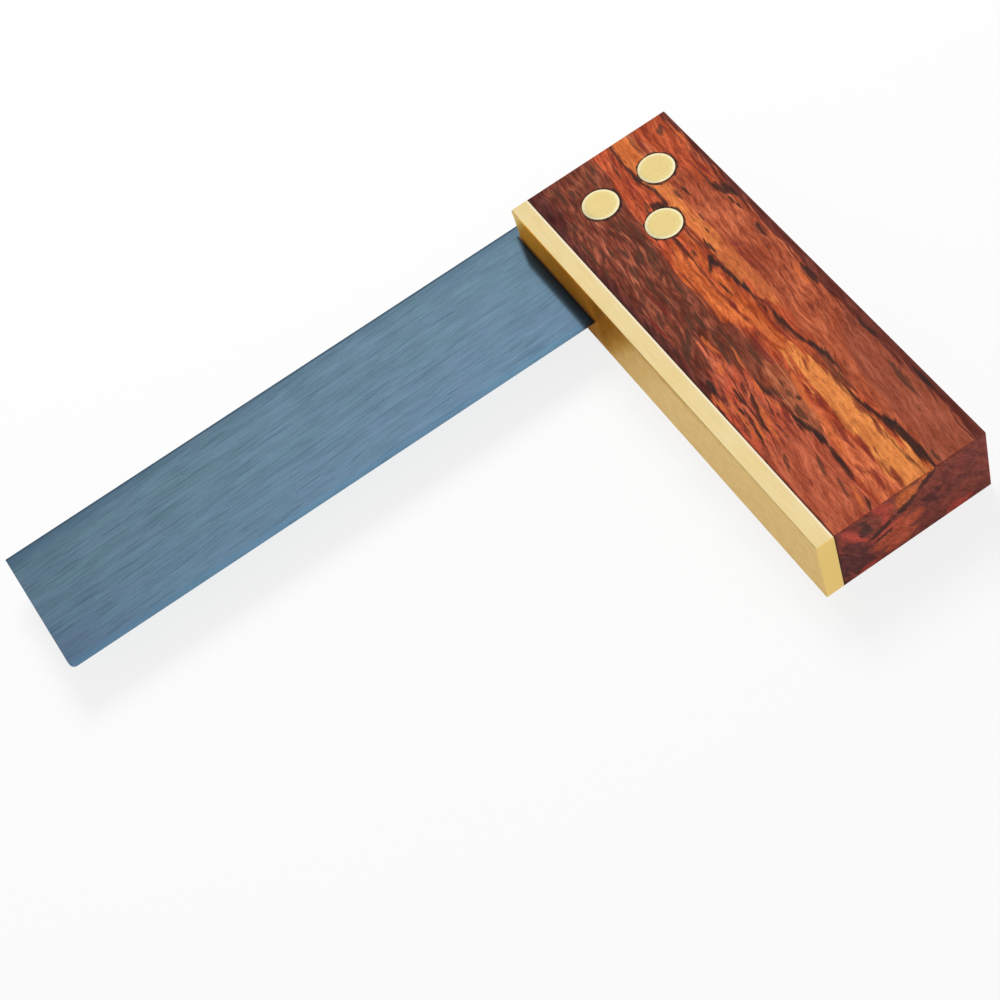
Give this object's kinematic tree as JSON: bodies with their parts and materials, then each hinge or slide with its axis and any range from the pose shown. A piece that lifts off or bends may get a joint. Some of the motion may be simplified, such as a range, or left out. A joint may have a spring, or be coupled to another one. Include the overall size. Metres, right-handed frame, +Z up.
{
  "type": "try square",
  "caption": "Joiner's try square: a thin straight steel blade set at a right angle in a brass-faced hardwood stock, held by rivets through flush round brass discs.",
  "frame": {"origin": "heel corner of the fence at the underside: on the fence plane, at the end of the stock where the blade is, on the face the square lies on", "axes": "+X is the fence's outward normal and the way the blade runs, +Y runs along the stock from heel to foot, +Z is up through the thickness"},
  "size_m": [0.1963, 0.1302, 0.0214],
  "materials": {
    "stock_wood": "satin oiled",
    "blade_steel": "blued, brushed lengthwise",
    "plate_brass": "satin",
    "disc_brass": "satin",
    "rivet_brass": "satin",
    "pin_brass": "satin"
  },
  "bodies": {
    "root": {"stock": "stock_wood", "blade": "blade_steel", "face_plate": "plate_brass", "rivet_front": "rivet_brass", "rivet_back": "rivet_brass", "rivet_inner": "rivet_brass", "disc_front_top": "disc_brass", "disc_back_top": "disc_brass", "disc_inner_top": "disc_brass", "disc_front_under": "disc_brass", "disc_back_under": "disc_brass", "disc_inner_under": "disc_brass", "face_pin_1": "pin_brass", "face_pin_2": "pin_brass", "face_pin_3": "pin_brass", "face_pin_4": "pin_brass", "face_pin_5": "pin_brass"}
  },
  "joints": []
}
